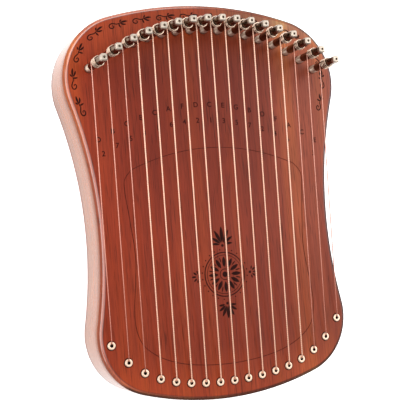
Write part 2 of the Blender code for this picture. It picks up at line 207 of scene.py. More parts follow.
def add_node(tree, kind, **settings):
    node = tree.nodes.new(kind)
    for key, value in settings.items():
        if key in node.inputs:
            node.inputs[key].default_value = value
        else:
            setattr(node, key, value)
    return node


def object_coordinates(tree, stretch):
    """Object coordinates, squeezed along the grain so that noise comes out as long fibres."""
    place = add_node(tree, "ShaderNodeTexCoord")
    mapping = add_node(tree, "ShaderNodeMapping")
    mapping.inputs["Scale"].default_value = stretch
    tree.links.new(place.outputs["Object"], mapping.inputs["Vector"])
    return mapping.outputs["Vector"]


def colour_ramp(tree, fac, stops):
    ramp = add_node(tree, "ShaderNodeValToRGB")
    elements = ramp.color_ramp.elements
    elements[0].position, elements[0].color = stops[0][0], (*stops[0][1], 1.0)
    elements[1].position, elements[1].color = stops[-1][0], (*stops[-1][1], 1.0)
    for position, colour in stops[1:-1]:
        elements.new(position).color = (*colour, 1.0)
    tree.links.new(fac, ramp.inputs["Fac"])
    return ramp.outputs["Color"]


def object_share(tree, axis, low, high):
    """How far a point lies between two values of its X, Y or Z, from 0 to 1."""
    place = add_node(tree, "ShaderNodeTexCoord")
    split = add_node(tree, "ShaderNodeSeparateXYZ")
    share = add_node(tree, "ShaderNodeMapRange")
    share.inputs["From Min"].default_value = low
    share.inputs["From Max"].default_value = high
    tree.links.new(place.outputs["Object"], split.inputs["Vector"])
    tree.links.new(split.outputs[axis], share.inputs["Value"])
    return share.outputs["Result"]


def tint(material, fac, stops):
    """Multiplies a material's colour by a ramp over fac."""
    tree = material.node_tree
    shader = tree.nodes["Principled BSDF"]
    colour = shader.inputs["Base Color"].links[0].from_socket
    tree.links.new(multiply(tree, colour, colour_ramp(tree, fac, stops)), shader.inputs["Base Color"])


def multiply(tree, first, second):
    mix = add_node(tree, "ShaderNodeMix", data_type="RGBA", blend_type="MULTIPLY")
    mix.inputs[0].default_value = 1.0
    tree.links.new(first, mix.inputs[6])
    tree.links.new(second, mix.inputs[7])
    return mix.outputs[2]


def product(tree, first, second):
    """Two shares multiplied."""
    node = add_node(tree, "ShaderNodeMath", operation="MULTIPLY")
    tree.links.new(first, node.inputs[0])
    tree.links.new(second, node.inputs[1])
    return node.outputs["Value"]


def grey(value):
    return (value, value, value)


def wood_material(name, dark, middle, light, stretch, roughness, pores=0.55):
    """Straight-grained wood: soft broad bands, fine fibres and short dark pores."""
    material, tree, shader = new_material(name)
    along = object_coordinates(tree, stretch)
    bands = add_node(tree, "ShaderNodeTexNoise", Scale=42.0, Detail=2.0, Roughness=0.5)
    fibre = add_node(tree, "ShaderNodeTexNoise", Scale=620.0, Detail=3.0, Roughness=0.65)
    pore = add_node(tree, "ShaderNodeTexNoise", Scale=1300.0, Detail=1.0, Roughness=0.5)
    for noise in (bands, fibre, pore):
        tree.links.new(along, noise.inputs["Vector"])
    colour = colour_ramp(tree, bands.outputs["Fac"], ((0.35, dark), (0.5, middle), (0.65, light)))
    shade = colour_ramp(tree, fibre.outputs["Fac"], ((0.32, grey(0.80)), (0.68, grey(1.15))))
    flecks = colour_ramp(tree, pore.outputs["Fac"], ((0.60, grey(1.0)), (0.70, grey(pores))))
    colour = multiply(tree, multiply(tree, colour, shade), flecks)
    tree.links.new(colour, shader.inputs["Base Color"])
    bump = add_node(tree, "ShaderNodeBump", Strength=0.08, Distance=0.0002)
    tree.links.new(fibre.outputs["Fac"], bump.inputs["Height"])
    tree.links.new(bump.outputs["Normal"], shader.inputs["Normal"])
    shader.inputs["Roughness"].default_value = roughness
    return material


def facing(tree, direction):
    """How far the surface looks in a direction: 0 away from it, 0.5 across it, 1 towards it."""
    geometry = add_node(tree, "ShaderNodeNewGeometry")
    product = add_node(tree, "ShaderNodeVectorMath", operation="DOT_PRODUCT")
    share = add_node(tree, "ShaderNodeMapRange")
    share.inputs["From Min"].default_value = -1.0
    product.inputs[1].default_value = Vector(direction).normalized()
    tree.links.new(geometry.outputs["Normal"], product.inputs[0])
    tree.links.new(product.outputs["Value"], share.inputs["Value"])
    return share.outputs["Result"]


def finish_and_paint_edge(material):
    """The face's edge: lacquer shines on its rounding at the left; the rounding's colour carries painted highlight and
    shade, and painted shade darkens it at the right and the foot.
    """
    tree = material.node_tree
    shader = tree.nodes["Principled BSDF"]
    up = facing(tree, (0.0, 0.0, 1.0))
    down_right = facing(tree, (0.87, -0.5, 0.0))
    coat_stops = ((0.80, grey(0.0)), (0.88, grey(1.0)), (0.985, grey(1.0)), (0.998, grey(0.0)))
    darker = add_node(tree, "ShaderNodeMath", operation="MAXIMUM")
    tree.links.new(facing(tree, (0.95, 0.30, 0.0)), darker.inputs[0])
    tree.links.new(facing(tree, (0.60, -0.80, 0.0)), darker.inputs[1])
    painted_shade_side = darker.outputs["Value"]
    shine = multiply(tree, colour_ramp(tree, down_right, ((0.36, grey(1.0)), (0.45, grey(0.8)))),
                     colour_ramp(tree, painted_shade_side, ((0.55, grey(1.0)), (0.64, grey(0.0)))))
    tree.links.new(multiply(tree, colour_ramp(tree, up, coat_stops), shine), shader.inputs["Coat Weight"])
    shader.inputs["Coat IOR"].default_value = 2.1
    shader.inputs["Coat Roughness"].default_value = 0.15
    gloss = colour_ramp(tree, painted_shade_side, ((0.55, grey(FACE_SHINE)), (0.64, grey(0.0))))
    shader.inputs["Specular IOR Level"].default_value = FACE_SHINE
    tree.links.new(gloss, shader.inputs["Specular IOR Level"])
    # Painted highlight and shade on the rounding: a brown band low on it, a pale band where the lacquer catches the
    # light, and a dark line where it meets the flat
    tint(material, up, ((0.66, (0.95, 1.5, 1.7)), (0.84, (1.05, 1.75, 1.8)), (0.95, (1.8, 2.3, 1.8)),
                        (0.99, (0.65, 0.65, 0.7)), (0.9995, grey(0.7)), (1.0, grey(1.0))))
    # Painted shade: the rounding darkened at the right and the foot, which face away from the light
    tint(material, painted_shade_side, ((0.55, grey(1.0)), (0.64, (0.27, 0.48, 1.1))))
    dull = colour_ramp(tree, up, ((0.67, grey(0.65)), (0.78, grey(FACE_ROUGHNESS))))
    tree.links.new(dull, shader.inputs["Roughness"])


def finish_wall(material):
    """The wall: glossy lacquer that thins out towards the face, over a colour that darkens there."""
    tree = material.node_tree
    shader = tree.nodes["Principled BSDF"]
    height = object_share(tree, "Z", 0.0, RIM_HIGH)
    coat = colour_ramp(tree, height, ((0.0, grey(0.26)), (0.2, grey(0.42)), (0.75, grey(0.40)), (0.97, grey(0.0))))
    shine = colour_ramp(tree, height, ((0.75, grey(WALL_SHINE)), (0.95, grey(0.12))))
    shoulder = colour_ramp(tree, object_share(tree, "Y", 0.04, 0.15), ((0.0, grey(1.0)), (1.0, grey(0.45))))
    tree.links.new(multiply(tree, coat, shoulder), shader.inputs["Coat Weight"])
    shader.inputs["Specular IOR Level"].default_value = WALL_SHINE
    tree.links.new(shine, shader.inputs["Specular IOR Level"])
    shader.inputs["Coat Roughness"].default_value = 0.15
    # Darker towards the face, and a little at the back edge
    tint(material, height, ((0.0, grey(0.85)), (0.3, grey(1.0)), (0.85, (1.05, 0.95, 0.9)), (1.0, (0.75, 0.62, 0.58))))


def paint_face_light_and_drift(material):
    """Painted light and shade on the board: painted shade in its upper middle below the pins, painted light above
    them, a painted sheen towards the right and a painted highlight along the top; also slower changes of tone by
    height and side, and a slow drift of colour.
    """
    tree = material.node_tree
    place = add_node(tree, "ShaderNodeTexCoord")
    mapping = add_node(tree, "ShaderNodeMapping", vector_type="TEXTURE")
    mapping.inputs["Location"].default_value = (*PAINTED_SHADE_CENTRE, FACE_Z)
    mapping.inputs["Scale"].default_value = PAINTED_SHADE_REACH
    ball = add_node(tree, "ShaderNodeTexGradient", gradient_type="SPHERICAL")
    tree.links.new(place.outputs["Object"], mapping.inputs["Vector"])
    tree.links.new(mapping.outputs["Vector"], ball.inputs["Vector"])
    # Painted shade in the upper middle, below the pins, where their shadows fall
    tint(material, ball.outputs["Fac"], ((0.2, grey(1.0)), (0.7, (0.80, 0.78, 0.80))))
    # Painted light: lighter above the pins
    tint(material, object_share(tree, "Y", 0.110, 0.145), ((0.0, grey(1.0)), (1.0, (1.40, 1.68, 1.35))))
    tint(material, object_share(tree, "Y", -0.130, -0.020), ((0.0, (0.90, 0.94, 0.96)), (1.0, grey(1.0))))
    tint(material, object_share(tree, "Y", -0.158, -0.125), ((0.0, (1.35, 1.40, 1.25)), (1.0, grey(1.0))))
    # Painted sheen: paler and greyer towards the right
    tint(material, object_share(tree, "X", 0.0, 0.125), ((0.0, grey(1.0)), (1.0, (1.03, 1.45, 1.75))))
    tint(material, object_share(tree, "X", -0.125, -0.02), ((0.0, (1.15, 1.06, 0.90)), (1.0, grey(1.0))))
    # More painted sheen over the right of the middle
    upper_right = product(tree, object_share(tree, "X", 0.02, 0.12), object_share(tree, "Y", -0.09, 0.0))
    tint(material, upper_right, ((0.0, grey(1.0)), (1.0, (1.15, 1.5, 1.9))))
    # Painted highlight: a pale strip along the top of the face, on the flat only
    flat = colour_ramp(tree, facing(tree, (0.0, 0.0, 1.0)), ((0.9995, grey(0.0)), (1.0, grey(1.0))))
    top_right = product(tree, object_share(tree, "X", -0.01, 0.04), object_share(tree, "Y", 0.140, 0.158))
    tint(material, product(tree, top_right, flat), ((0.0, grey(1.0)), (1.0, (0.92, 1.8, 2.5))))
    drift = add_node(tree, "ShaderNodeTexNoise", Scale=26.0, Detail=2.0)
    tree.links.new(object_coordinates(tree, (1.0, 0.16, 1.0)), drift.inputs["Vector"])
    tint(material, drift.outputs["Fac"], ((0.3, (0.90, 0.84, 0.82)), (0.7, (1.12, 1.20, 1.16))))


def metal_material(name, dark, light, roughness, scale):
    """Plated or drawn metal with faint uneven polish."""
    material, tree, shader = new_material(name)
    along = object_coordinates(tree, (1.0, 1.0, 1.0))
    noise = add_node(tree, "ShaderNodeTexNoise", Scale=scale, Detail=4.0)
    tree.links.new(along, noise.inputs["Vector"])
    colour = colour_ramp(tree, noise.outputs["Fac"], ((0.35, dark), (0.65, light)))
    tree.links.new(colour, shader.inputs["Base Color"])
    shader.inputs["Metallic"].default_value = 1.0
    shader.inputs["Roughness"].default_value = roughness
    return material


def nickel_material(name, dark, light):
    """Nickel plate: satin on the thread under a painted highlight, glossy on the shaft and painted dark brown there as
    a reflection of the wood, bright at the filed end.
    """
    material = metal_material(name, dark, light, 0.3, 300.0)
    tree = material.node_tree
    height = object_share(tree, "Z", FACE_Z, FACE_Z + PIN_HEIGHT)
    thread = PIN_THREAD_TOP / PIN_HEIGHT
    filed_from = 1 - PIN_FILED_LENGTH / PIN_HEIGHT
    blend = 0.02
    places = (0.0, thread, thread + blend, filed_from - blend, filed_from, 1.0)
    satin, polished, filed = grey(0.40), grey(0.16), grey(0.42)
    gloss = zip(places, (satin, satin, polished, polished, filed, filed))
    tree.links.new(colour_ramp(tree, height, tuple(gloss)), tree.nodes["Principled BSDF"].inputs["Roughness"])
    # The thread is lifted as a painted highlight, the shaft is a painted dark reflection of the wood
    painted_thread_highlight, painted_wood_reflection, worn = (1.15, 1.03, 0.92), (0.26, 0.19, 0.14), (0.86, 0.79, 0.72)
    tint(material, height, tuple(zip(places, (painted_thread_highlight, painted_thread_highlight, painted_wood_reflection, painted_wood_reflection, worn, worn))))
    return material


def wound_material(name, dark, light, wraps_per_metre):
    """Bronze wire wrapped tightly round a core: bands across the string, in colour and relief."""
    material, tree, shader = new_material(name)
    along = object_coordinates(tree, (1.0, 1.0, 1.0))
    bands = add_node(tree, "ShaderNodeTexWave", wave_type="BANDS", bands_direction="Y", Scale=wraps_per_metre / 20)
    tree.links.new(along, bands.inputs["Vector"])
    colour = colour_ramp(tree, bands.outputs["Fac"], ((0.0, dark), (0.5, light)))
    tree.links.new(colour, shader.inputs["Base Color"])
    bump = add_node(tree, "ShaderNodeBump", Strength=0.3, Distance=0.0001)
    tree.links.new(bands.outputs["Fac"], bump.inputs["Height"])
    tree.links.new(bump.outputs["Normal"], shader.inputs["Normal"])
    shader.inputs["Metallic"].default_value = 0.85
    shader.inputs["Roughness"].default_value = 0.42
    return material


def dark_matte_material(name, dark, light):
    """Dark, matte and a little uneven: wood burnt by a laser, and also painted shade in the eyelets' bores and round
    them.
    """
    material, tree, shader = new_material(name)
    along = object_coordinates(tree, (1.0, 0.2, 1.0))
    noise = add_node(tree, "ShaderNodeTexNoise", Scale=900.0, Detail=3.0)
    tree.links.new(along, noise.inputs["Vector"])
    colour = colour_ramp(tree, noise.outputs["Fac"], ((0.3, dark), (0.75, light)))
    tree.links.new(colour, shader.inputs["Base Color"])
    shader.inputs["Roughness"].default_value = 0.85
    shader.inputs["Specular IOR Level"].default_value = 0.1
    return material


def add_piece(name, mesh, material, body, slot, *replaced):
    """A visible piece that rides on a body and stands for the CAD nodes named last."""
    piece = bpy.data.objects.new(name, mesh)
    bpy.context.scene.collection.objects.link(piece)
    if not mesh.materials:
        mesh.materials.append(material)
    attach(piece, body)
    if replaced:
        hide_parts(*replaced)
    return piece


def mesh_from(build, name, sharp_degrees=35):
    bmesh.ops.recalc_face_normals(build, faces=build.faces)
    mesh = bpy.data.meshes.new(name)
    build.to_mesh(mesh)
    build.free()
    mesh.shade_smooth()
    mesh.set_sharp_from_angle(angle=math.radians(sharp_degrees))
    return mesh


def join_rings(build, rings, closed_ring=False):
    """Joins rings of equally many points with quads, and caps the first and the last, or joins them too."""
    loops = [[build.verts.new(point) for point in ring] for ring in rings]
    pairs = list(zip(loops, loops[1:]))
    if closed_ring:
        pairs.append((loops[-1], loops[0]))
    for lower, upper in pairs:
        for i in range(len(lower)):
            j = (i + 1) % len(lower)
            build.faces.new((lower[i], lower[j], upper[j], upper[i]))
    if not closed_ring:
        build.faces.new(loops[0][::-1])
        build.faces.new(loops[-1])


def arc(centre, radius, start, end, steps):
    """Points of an arc between two angles, both ends included."""
    points = []
    for i in range(steps + 1):
        angle = start + (end - start) * i / steps
        points.append(Vector((centre.x + radius * math.cos(angle), centre.y + radius * math.sin(angle))))
    return points


def arc_steps(radius, sweep):
    """As few chords as keep within CHORD_ERROR of the arc."""
    return max(1, math.ceil(abs(sweep) / (2 * math.acos(1 - CHORD_ERROR / radius))))


def waist_arc(shoulder, hip):
    """Centre and radius of the waist's arc, which touches the shoulder's arc and the hip's arc."""
    waist_x = WAIST_WIDTH / 2
    shoulder_offset = waist_x - shoulder.x
    hip_offset = waist_x - hip.x

    def drop(own_radius, offset, radius):
        return math.sqrt((own_radius - offset) * (2 * radius + own_radius + offset))

    low, high = 0.0, WAIST_SEARCH_RADIUS
    for _ in range(WAIST_SEARCH_STEPS):
        radius = (low + high) / 2
        reach = drop(SHOULDER_RADIUS, shoulder_offset, radius) + drop(HIP_RADIUS, hip_offset, radius)
        if reach < shoulder.y - hip.y:
            low = radius
        else:
            high = radius
    centre = Vector((waist_x + radius, shoulder.y - drop(SHOULDER_RADIUS, shoulder_offset, radius)))
    return centre, radius


def angle_of(vector):
    return math.atan2(vector.y, vector.x)


def outline_arcs():
    """The right side's arcs from top to bottom: centre, radius, whether it bulges, and its two angles."""
    top = Vector((0.0, BODY_LENGTH / 2 - TOP_RADIUS))
    shoulder_x = UPPER_WIDTH / 2 - SHOULDER_RADIUS
    shoulder = Vector((shoulder_x, top.y + math.sqrt((TOP_RADIUS - SHOULDER_RADIUS) ** 2 - shoulder_x**2)))
    bottom = Vector((0.0, BOTTOM_RADIUS - BODY_LENGTH / 2))
    hip_x = LOWER_WIDTH / 2 - HIP_RADIUS
    hip = Vector((hip_x, bottom.y - math.sqrt((BOTTOM_RADIUS - HIP_RADIUS) ** 2 - hip_x**2)))
    waist, waist_radius = waist_arc(shoulder, hip)
    quarter = math.pi / 2
    at_shoulder = angle_of(shoulder - top)
    above_waist = angle_of(waist - shoulder)
    below_waist = angle_of(waist - hip)
    at_hip = angle_of(hip - bottom)
    return (
        (top, TOP_RADIUS, True, quarter, at_shoulder),
        (shoulder, SHOULDER_RADIUS, True, at_shoulder, above_waist),
        (waist, waist_radius, False, above_waist, below_waist),
        (hip, HIP_RADIUS, True, below_waist, at_hip),
        (bottom, BOTTOM_RADIUS, True, at_hip, -quarter),
    )


def right_outline(inset=0.0):
    """The outline's right half from top to bottom, moved inwards by inset."""
    right = []
    for centre, radius, bulges, start, end in outline_arcs():
        reach = radius - inset if bulges else -radius - inset
        for point in arc(centre, reach, start, end, arc_steps(radius, end - start)):
            if not right or (point - right[-1]).length > CHORD_ERROR:
                right.append(point)
    return right


def outline(inset=0.0):
    right = right_outline(inset)
    left = [Vector((-point.x, point.y)) for point in reversed(right[1:-1])]
    return right + left


def rounded_edge(radius, z_edge, z_start):
    """Insets and heights of a quarter-round edge, with a narrow flat strip that keeps the face's shading flat."""
    rows = []
    for i in range(ROUNDING_STEPS + 1):
        angle = math.pi / 2 * i / ROUNDING_STEPS
        rows.append((radius * (1 - math.cos(angle)), z_start + (z_edge - z_start) * math.sin(angle)))
    rows.append((radius + EDGE_SUPPORT, z_edge))
    return rows


def plate_mesh(name, rows, holes):
    """A plate whose edge follows rows of insets and heights, with round holes of (x, y, radius, low, high, sides)."""
    build = bmesh.new()
    join_rings(build, [[(p.x, p.y, z) for p in outline(inset)] for inset, z in rows])
    blank = bpy.data.objects.new(name + "_blank", mesh_from(build, name + "_blank"))
    cutter_build = bmesh.new()
    for x, y, radius, low, high, sides in holes:
        rings = []
        for z in (low, high):
            angles = [2 * math.pi * i / sides for i in range(sides)]
            rings.append([(x + radius * math.cos(a), y + radius * math.sin(a), z) for a in angles])
        join_rings(cutter_build, rings)
    cutter = bpy.data.objects.new(name + "_cutter", mesh_from(cutter_build, name + "_cutter"))
    return cut_mesh(name, blank, cutter)


def cut_mesh(name, blank, cutter):
    """The blank's mesh with the cutter taken out. Both helper objects are removed."""
    for helper in (blank, cutter):
        bpy.context.scene.collection.objects.link(helper)
    modifier = blank.modifiers.new("cut", "BOOLEAN")
    modifier.object = cutter
    modifier.solver = "EXACT"
    bpy.context.view_layer.update()
    graph = bpy.context.evaluated_depsgraph_get()
    mesh = bpy.data.meshes.new_from_object(blank.evaluated_get(graph))
    mesh.name = name
    mesh.materials.clear()
    mesh.shade_smooth()
    mesh.set_sharp_from_angle(angle=math.radians(35))
    for helper in (blank, cutter):
        bpy.data.objects.remove(helper, do_unlink=True)
    return mesh


def string_numbers():
    return range(1, STRING_COUNT + 1)


def is_plain(number):
    return min(number - 1, STRING_COUNT - number) < PLAIN_STRINGS_EACH_SIDE


def eyelet_place(number):
    low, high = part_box(f"eyelet_{number:02d}")
    return Vector(((low.x + high.x) / 2, (low.y + high.y) / 2, FACE_Z))


def pin_place(number):
    joint = next(j for j in frame["joints"] if j["name"] == f"tune_{number:02d}")
    return Vector(joint["pos_m"])


def add_front_plate(material):
    holes = []
    for number in string_numbers():
        eyelet, pin = eyelet_place(number), pin_place(number)
        holes.append((eyelet.x, eyelet.y, EYELET_BARREL_RADIUS + SEAM_GAP,
                      FRONT_UNDER - CUT_OVERSHOOT, FACE_Z + CUT_OVERSHOOT, EYELET_SIDES))
        holes.append((pin.x, pin.y, PIN_RADIUS + PIN_HOLE_CLEARANCE,
                      FRONT_UNDER - CUT_OVERSHOOT, FACE_Z + CUT_OVERSHOOT, EYELET_SIDES))
    rows = [(0.0, FRONT_UNDER)] + rounded_edge(FRONT_ROUNDING, FACE_Z, FACE_Z - FRONT_ROUNDING)
    mesh = plate_mesh("front_plate_look", rows, holes)
    add_piece("front_plate_look", mesh, material, "harp", "front_mahogany", "front_plate")


def add_back_plate(material):
    holes = [(0.0, SOUND_HOLE_FROM_BOTTOM - BODY_LENGTH / 2, SOUND_HOLE_RADIUS,
              -CUT_OVERSHOOT, BACK_TOP + CUT_OVERSHOOT, 96)]
    for number in string_numbers():
        place = eyelet_place(number)
        holes.append((place.x, place.y, BALL_RECESS_RADIUS, -CUT_OVERSHOOT, BACK_TOP + CUT_OVERSHOOT, EYELET_SIDES))
    rows = rounded_edge(BACK_ROUNDING, 0.0, BACK_ROUNDING)[::-1] + [(0.0, BACK_TOP)]
    mesh = plate_mesh("back_plate_look", rows, holes)
    add_piece("back_plate_look", mesh, material, "harp", "back_mahogany", "back_plate")


def add_rim(material):
    rows = (
        (RIM_CHAMFER, RIM_LOW),
        (0.0, RIM_LOW + RIM_CHAMFER),
        (0.0, RIM_HIGH - RIM_CHAMFER),
        (RIM_CHAMFER, RIM_HIGH),
        (RIM_THICKNESS, RIM_HIGH),
        (RIM_THICKNESS, RIM_LOW),
    )
    build = bmesh.new()
    join_rings(build, [[(p.x, p.y, z) for p in outline(inset)] for inset, z in rows], closed_ring=True)
    add_piece("rim_look", mesh_from(build, "rim_look"), material, "harp", "rim_mahogany", "rim")


def turned(build, profile, sides, centre=Vector((0.0, 0.0, 0.0))):
    """A closed ring-shaped body turned from a profile of (radius, height)."""
    rings = []
    for i in range(sides):
        angle = 2 * math.pi * i / sides
        rings.append([(centre.x + r * math.cos(angle), centre.y + r * math.sin(angle), centre.z + z) for r, z in profile])
    join_rings(build, rings, closed_ring=True)


def add_eyelets(material, bore_shade):
    """Brass eyelets: a barrel through the face and a flange with a rolled lip, rounder outside than inside."""
    top = SEAM_GAP + EYELET_FLANGE_HEIGHT
    lip = []
    for centre, radius, side in ((EYELET_LIP_RADIUS, EYELET_OUTER_ROUNDING, 1),
                                 (EYELET_BORE_RADIUS, EYELET_INNER_ROUNDING, -1)):
        turns = [math.pi / 2 * i / EYELET_ROUNDING_STEPS for i in range(EYELET_ROUNDING_STEPS + 1)]
        corner = [(centre - side * radius * (1 - math.cos(turn)), top - radius * (1 - math.sin(turn))) for turn in turns]
        lip += corner[::side]
    profile = [(EYELET_LIP_RADIUS, SEAM_GAP)] + lip
    profile += [(EYELET_BORE_RADIUS, -EYELET_BARREL_LENGTH), (EYELET_BARREL_RADIUS, -EYELET_BARREL_LENGTH),
                (EYELET_BARREL_RADIUS, SEAM_GAP)]
    for number in string_numbers():
        build = bmesh.new()
        turned(build, profile, EYELET_SIDES, eyelet_place(number))
        name = f"eyelet_look_{number:02d}"
        add_piece(name, mesh_from(build, name, 50), material, "harp", "eyelet_brass", f"eyelet_{number:02d}")
    # A near-black sleeve inside each bore: painted shade in the hole
    outer, inner = EYELET_BORE_RADIUS - BORE_SHADE_GAP, EYELET_BORE_RADIUS - BORE_SHADE_GAP - BORE_SHADE_THICKNESS
    high = SEAM_GAP + EYELET_FLANGE_HEIGHT - EYELET_INNER_ROUNDING
    sleeve = ((inner, -EYELET_BARREL_LENGTH), (outer, -EYELET_BARREL_LENGTH), (outer, high), (inner, high))
    build = bmesh.new()
    for number in string_numbers():
        turned(build, sleeve, EYELET_SIDES, eyelet_place(number))
    add_piece("eyelet_bore_shades", mesh_from(build, "eyelet_bore_shades"), bore_shade, "harp", "eyelet_brass")


def pin_ring(z, radius=PIN_RADIUS, square=None):
    """A ring of a pin: round, or filed square to a width across its flats with the round left at the corners."""
    ring = []
    for i in range(PIN_SIDES):
        angle = 2 * math.pi * (i + 0.5) / PIN_SIDES
        c, s = math.cos(angle), math.sin(angle)
        reach = radius if square is None else min(radius, square / 2 / max(abs(c), abs(s)))
        ring.append((reach * c, reach * s, z))
    return ring


def shank_rings():
    """The shank from its foot in the block: plain, a polished bead at the face, fine thread, then smooth."""
    root = PIN_RADIUS - PIN_THREAD_DEPTH
    rings = [
        pin_ring(PIN_FOOT, PIN_RADIUS - PIN_HEAD_BEVEL),
        pin_ring(PIN_FOOT + PIN_HEAD_BEVEL),
        pin_ring(PIN_HOLE_CLEARANCE),
    ]
    for i in range(1, 6):
        angle = math.pi / 2 * i / 5
        height = PIN_HOLE_CLEARANCE + PIN_BEAD_HEIGHT * math.sin(angle)
        rings.append(pin_ring(height, PIN_RADIUS - 2 * PIN_THREAD_DEPTH * (1 - math.cos(angle))))
    z = PIN_HOLE_CLEARANCE + PIN_BEAD_HEIGHT + PIN_THREAD_PITCH / 2
    while z < PIN_THREAD_TOP:
        rings.append(pin_ring(z, root))
        rings.append(pin_ring(z + PIN_THREAD_PITCH / 2, PIN_RADIUS))
        z += PIN_THREAD_PITCH
    rings.append(pin_ring(PIN_THREAD_TOP + PIN_THREAD_PITCH / 2, root))
    rings.append(pin_ring(PIN_THREAD_TOP + PIN_THREAD_PITCH, PIN_RADIUS))
    return rings


def head_rings():
    """The head: a short shoulder, four filed flats, a bevel round the top and a centre dimple."""
    neck = PIN_HEIGHT - PIN_HEAD_LENGTH
    return [
        pin_ring(neck),
        pin_ring(neck + PIN_HEAD_SHOULDER, square=PIN_HEAD_SQUARE),
        pin_ring(PIN_HEIGHT - PIN_HEAD_BEVEL, square=PIN_HEAD_SQUARE),
        pin_ring(PIN_HEIGHT, PIN_RADIUS - PIN_HEAD_BEVEL, PIN_HEAD_SQUARE - 2 * PIN_HEAD_BEVEL),
        pin_ring(PIN_HEIGHT, PIN_HEAD_DIMPLE),
        pin_ring(PIN_HEIGHT - PIN_DIMPLE_DEPTH, PIN_HEAD_DIMPLE * 0.6),
    ]


def pin_mesh():
    """A tuning pin with its axis on Z and the face at zero, bored across for its string."""
    build = bmesh.new()
    join_rings(build, shank_rings() + head_rings())
    cutter_build = bmesh.new()
    rings = []
    for x in (-2 * PIN_RADIUS, 2 * PIN_RADIUS):
        angles = [2 * math.pi * i / PIN_STRING_HOLE_SIDES for i in range(PIN_STRING_HOLE_SIDES)]
        rings.append([(x, PIN_STRING_HOLE_RADIUS * math.cos(a),
                       PIN_STRING_HOLE_HEIGHT + PIN_STRING_HOLE_RADIUS * math.sin(a)) for a in angles])
    join_rings(cutter_build, rings)
    blank = bpy.data.objects.new("pin_blank", mesh_from(build, "pin_blank"))
    cutter = bpy.data.objects.new("pin_cutter", mesh_from(cutter_build, "pin_cutter"))
    mesh = cut_mesh("pin", blank, cutter)
    mesh.set_sharp_from_angle(angle=math.radians(30))
    return mesh


def add_pins(material):
    bored = pin_mesh()
    for number in string_numbers():
        name = f"tuning_pin_look_{number:02d}"
        mesh = bored.copy()
        mesh.name = name
        mesh.transform(Matrix.Translation(pin_place(number)))
        add_piece(name, mesh, material, f"pin_{number:02d}", "pin_nickel", f"tuning_pin_{number:02d}")
    bpy.data.meshes.remove(bored)


def winding_points(pin, wire_radius):
    """Turns that climb the pin clockwise, seen from the front, up to its hole, with a short straight tail."""
    radius = PIN_RADIUS + WINDING_CLEARANCE + wire_radius
    outer_x = pin_place(STRING_COUNT).x
    start = FACE_Z + WINDING_START - WINDING_START_DROP * abs(pin.x / outer_x) ** 3
    climb = FACE_Z + PIN_STRING_HOLE_HEIGHT - start
    turns = round(climb / WINDING_PITCH)
    points = []
    for i in range(turns * POINTS_PER_TURN + 1):
        turn = i / POINTS_PER_TURN
        angle = math.pi - 2 * math.pi * turn
        z = start + climb * turn / turns
        points.append(Vector((pin.x + radius * math.cos(angle), pin.y + radius * math.sin(angle), z)))
    points.append(points[-1] + Vector((-TAIL_LENGTH / 4, TAIL_LENGTH, 0.0)))
    return points


def string_path(number, wire_radius):
    """Centre line and radii: from the ball in the tail block up through the eyelet, to and round the pin."""
    foot = eyelet_place(number)
    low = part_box(f"string_{number:02d}")[0].z
    middle = low + BALL_RADIUS * math.sin(1.2)
    path = []
    for i in range(7):
        angle = -1.2 + 2.2 * i / 6
        path.append((Vector((foot.x, foot.y, middle + BALL_RADIUS * math.sin(angle))), BALL_RADIUS * math.cos(angle)))
    over = FACE_Z + SEAM_GAP + EYELET_FLANGE_HEIGHT + SEAM_GAP + wire_radius
    in_bore = EYELET_BORE_RADIUS - BORE_SHADE_GAP - BORE_SHADE_THICKNESS - wire_radius
    route = (
        Vector((foot.x, foot.y, middle + BALL_RADIUS)),
        Vector((foot.x, foot.y, FACE_Z - STRING_BEND_DEPTH)),
        Vector((foot.x, foot.y + in_bore, FACE_Z - EYELET_BARREL_LENGTH / 2)),
        Vector((foot.x, foot.y + in_bore, FACE_Z + SEAM_GAP + EYELET_FLANGE_HEIGHT / 2)),
        Vector((foot.x, foot.y + EYELET_BORE_RADIUS, over)),
        Vector((foot.x, foot.y + EYELET_FLANGE_RADIUS, over + wire_radius / 2)),
    )
    path += [(point, wire_radius) for point in route]
    path += [(point, wire_radius) for point in winding_points(pin_place(number), wire_radius)]
    return path


def add_strings(plain, wound, winding):
    for number in string_numbers():
        wire_radius = (PLAIN_DIAMETER if is_plain(number) else WOUND_DIAMETER) / 2
        path = string_path(number, wire_radius)
        name = f"string_look_{number:02d}"
        curve = bpy.data.curves.new(name, "CURVE")
        curve.dimensions = "3D"
        curve.bevel_depth = wire_radius
        curve.bevel_resolution = STRING_SIDES // 4 - 1
        curve.use_fill_caps = True
        line = curve.splines.new("POLY")
        line.points.add(len(path) - 1)
        for point, (place, radius) in zip(line.points, path):
            point.co = (*place, 1.0)
            point.radius = radius / wire_radius
        line.use_smooth = True
        helper = bpy.data.objects.new(name + "_curve", curve)
        bpy.context.scene.collection.objects.link(helper)
        bpy.context.view_layer.update()
        mesh = bpy.data.meshes.new_from_object(helper.evaluated_get(bpy.context.evaluated_depsgraph_get()))
        bpy.data.objects.remove(helper, do_unlink=True)
        mesh.shade_smooth()
        material = plain if is_plain(number) else wound
        for look in (material, winding):
            mesh.materials.append(look)
        reach = PIN_RADIUS + WINDING_CLEARANCE + 3 * wire_radius
        for face in mesh.polygons:
            if (face.center.xy - pin_place(number).xy).length < reach and face.center.z > FACE_Z:
                face.material_index = 1
        slot = "plain_steel" if is_plain(number) else "wound_bronze"
        add_piece(name, mesh, material, "harp", slot, f"string_{number:02d}")


